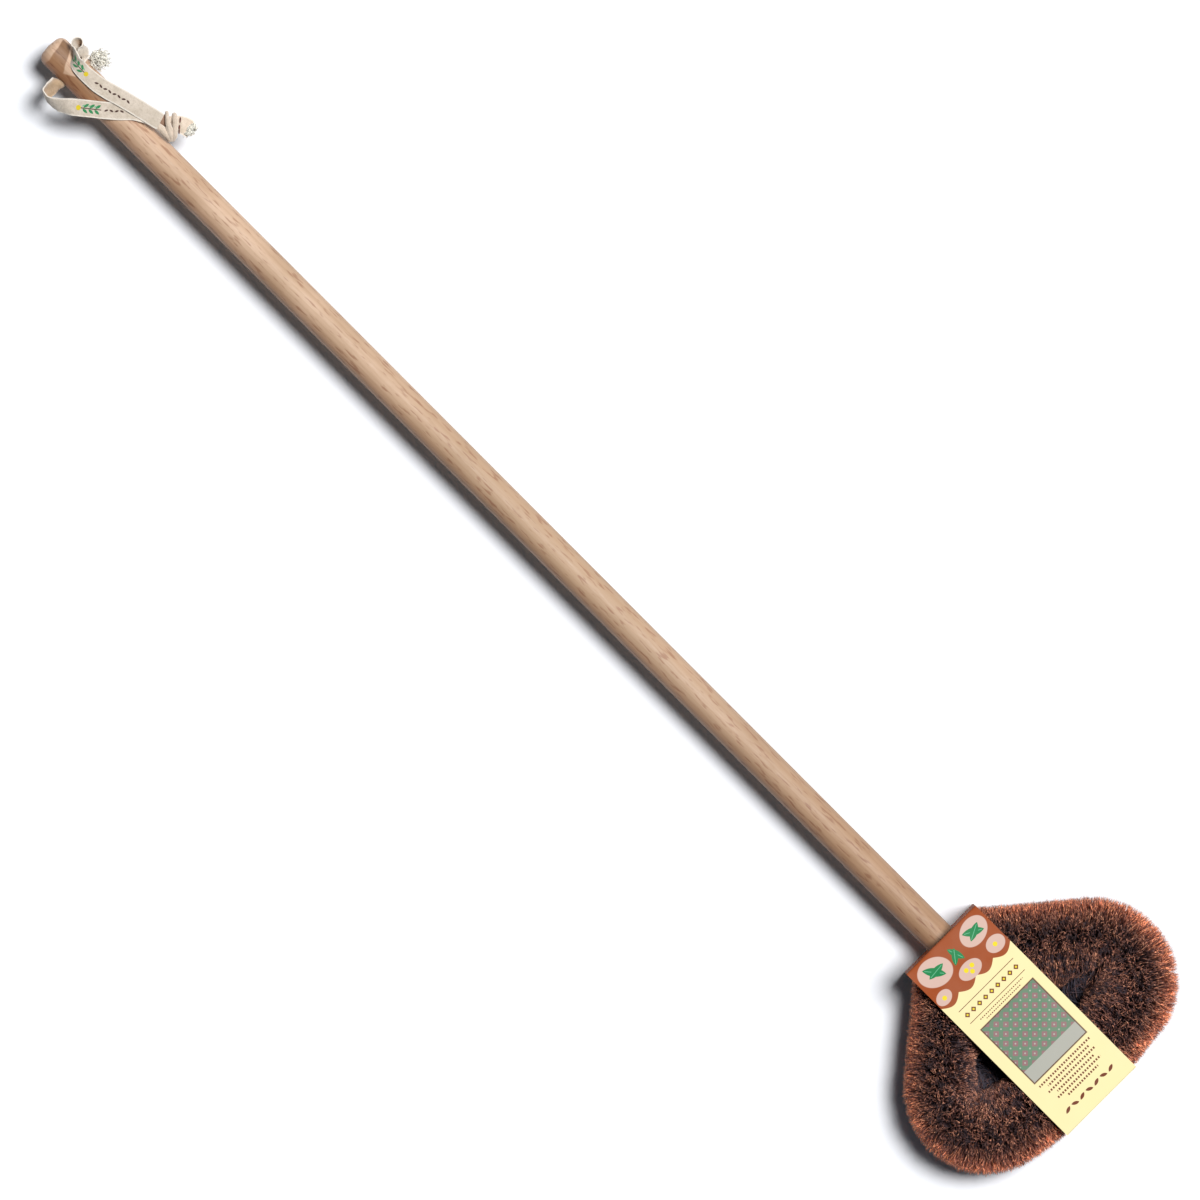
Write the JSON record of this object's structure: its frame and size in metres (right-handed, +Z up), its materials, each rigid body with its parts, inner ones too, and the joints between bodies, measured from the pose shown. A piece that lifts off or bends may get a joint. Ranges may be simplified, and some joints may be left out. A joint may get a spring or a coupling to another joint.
{
  "type": "wheelie bin brush",
  "caption": "Long-handled brush for scrubbing out a bin: wooden handle with a hanging tape, rounded triangular loop of dense coir bristle and a flat card sleeve over it.",
  "frame": {"origin": "under the middle of the brush as it lies flat, on the plane of the card sleeve's back", "axes": "+X from the handle's tip to the brush head, +Z up out of the card sleeve's front, +Y to the left when looking from the tip to the head"},
  "size_m": [1.0498, 0.2188, 0.0539],
  "materials": {
    "handle_wood": "plain turned wood, unvarnished",
    "galvanised_wire": "dull zinc",
    "coir_fibre": "coarse dark brown plant fibre",
    "printed_card": "smooth printed card",
    "cotton_tape": "woven cotton tape",
    "brown_thread": "brown thread"
  },
  "bodies": {
    "brush": {"handle": "handle_wood", "core_wire_a": "galvanised_wire", "core_wire_b": "galvanised_wire", "bristles_near_left": "coir_fibre", "bristles_near_right": "coir_fibre", "bristles_corner_near_left": "coir_fibre", "bristles_corner_near_right": "coir_fibre", "bristles_corner_far_left": "coir_fibre", "bristles_corner_far_right": "coir_fibre", "bristles_far_left": "coir_fibre", "bristles_far_right": "coir_fibre", "card_sleeve": "printed_card", "hang_tape_fold": "cotton_tape", "frayed_end": "cotton_tape"},
    "hang_loop": {"hang_tape_lower": "cotton_tape", "hang_tape_upper": "cotton_tape", "tape_knot": "cotton_tape", "tail_thread": "brown_thread"}
  },
  "joints": [
    {"name": "hang_loop_swing", "type": "hinge", "parent": "brush", "child": "hang_loop", "pos_m": [-0.49993, 0, 0.02695], "axis": [0, -1, 0], "range_deg": [0, 180]}
  ]
}
